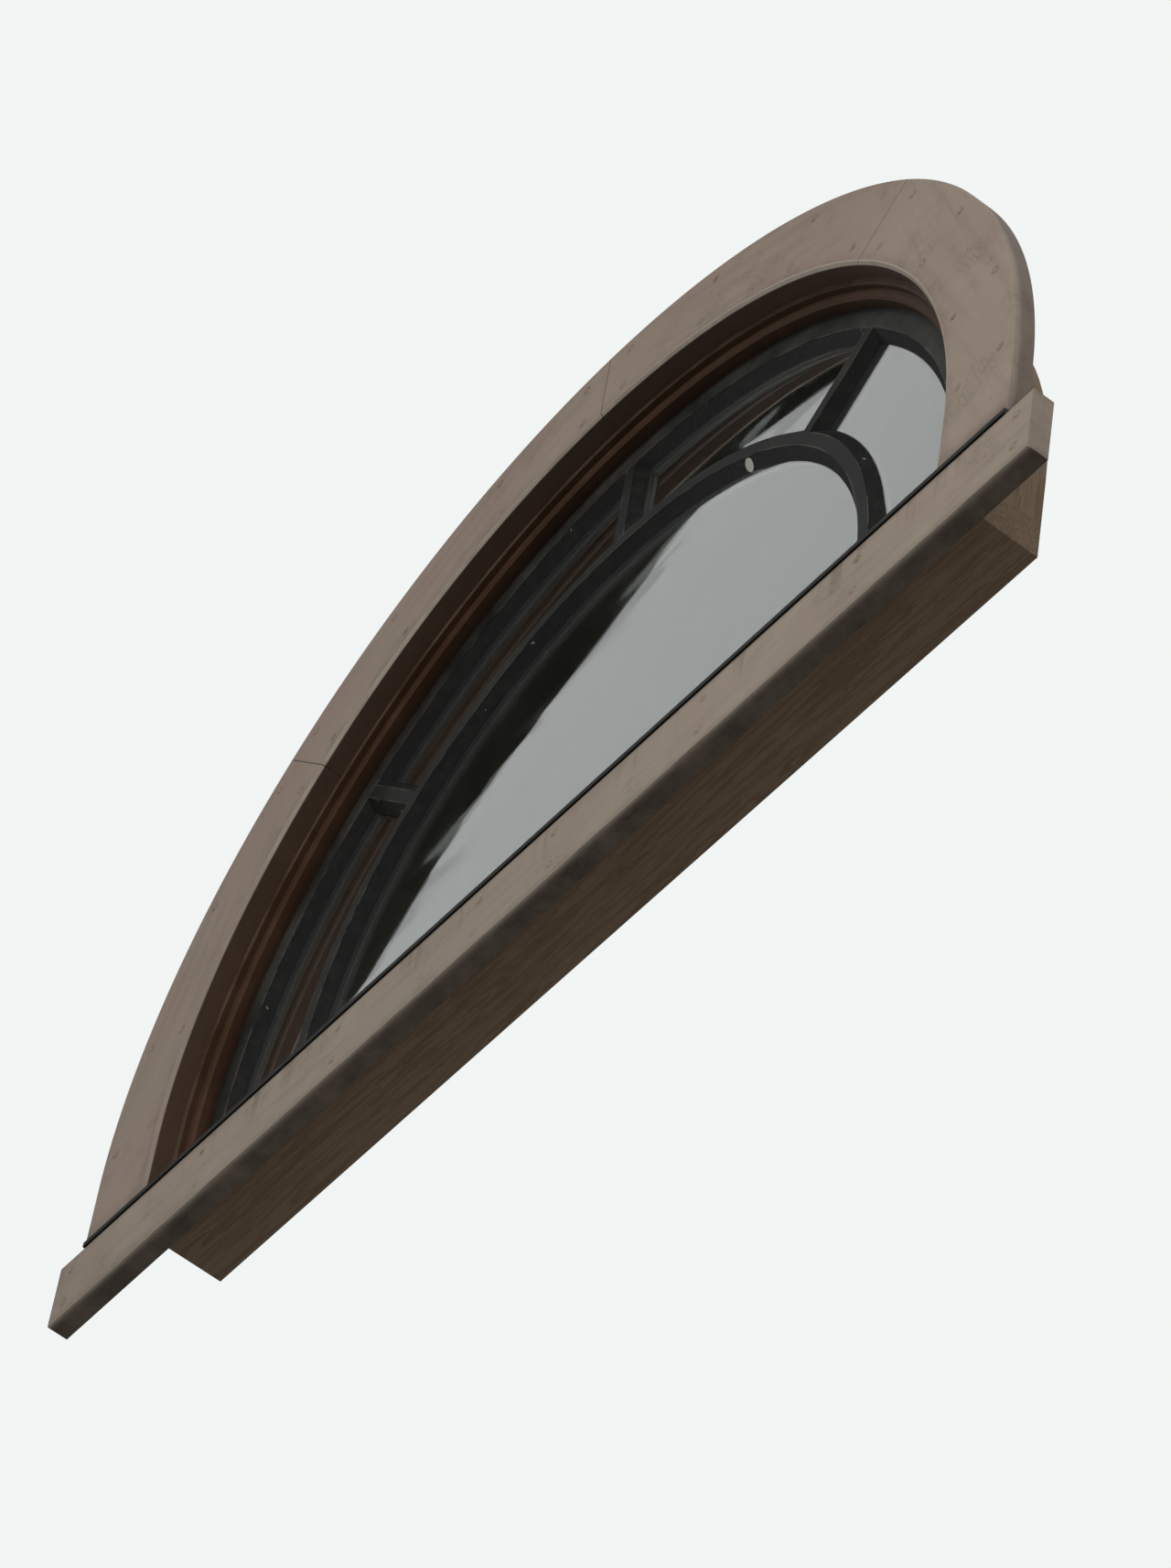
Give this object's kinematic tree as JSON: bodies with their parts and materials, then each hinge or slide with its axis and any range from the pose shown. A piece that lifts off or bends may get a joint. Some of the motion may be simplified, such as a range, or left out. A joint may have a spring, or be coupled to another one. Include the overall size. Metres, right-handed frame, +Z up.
{
  "type": "half-round gable window",
  "caption": "Fixed half-round gable window: flat arched casing on a board, deep bent jamb, and a fan-light sash with a half-round middle pane inside a ring of border panes.",
  "frame": {"origin": "middle of the board's lower back edge, on the face of the wall that the casing and the board lie on", "axes": "+X along the wall, to the right seen from outside; -Y out of the building; +Z up"},
  "size_m": [1.544, 0.119, 0.908],
  "materials": {
    "trim_paint": "weathered mauve-brown paint on wood",
    "reveal_paint": "dark reddish brown paint on wood",
    "dark_paint": "near black satin paint on wood",
    "glass": "clear old window glass, slightly uneven",
    "putty": "linseed putty under the sash's near black paint"
  },
  "bodies": {
    "root": {"apron_rail": "trim_paint", "casing_right_lower": "trim_paint", "casing_right_upper": "trim_paint", "casing_left_upper": "trim_paint", "casing_left_lower": "trim_paint", "arched_jamb": "reveal_paint", "blind_stop": "reveal_paint", "inner_stop_arch": "reveal_paint", "inner_stop_bottom": "reveal_paint", "sill": "dark_paint", "sash_bottom_rail": "dark_paint", "sash_head_right": "dark_paint", "sash_head_top": "dark_paint", "sash_head_left": "dark_paint", "hub_bar_right": "dark_paint", "hub_bar_left": "dark_paint", "radial_bar_right": "dark_paint", "radial_bar_middle": "dark_paint", "radial_bar_left": "dark_paint", "glass_centre": "glass", "glass_border_1": "glass", "glass_border_2": "glass", "glass_border_3": "glass", "glass_border_4": "glass", "putty_centre": "putty", "putty_border_1": "putty", "putty_border_2": "putty", "putty_border_3": "putty", "putty_border_4": "putty"}
  },
  "joints": []
}
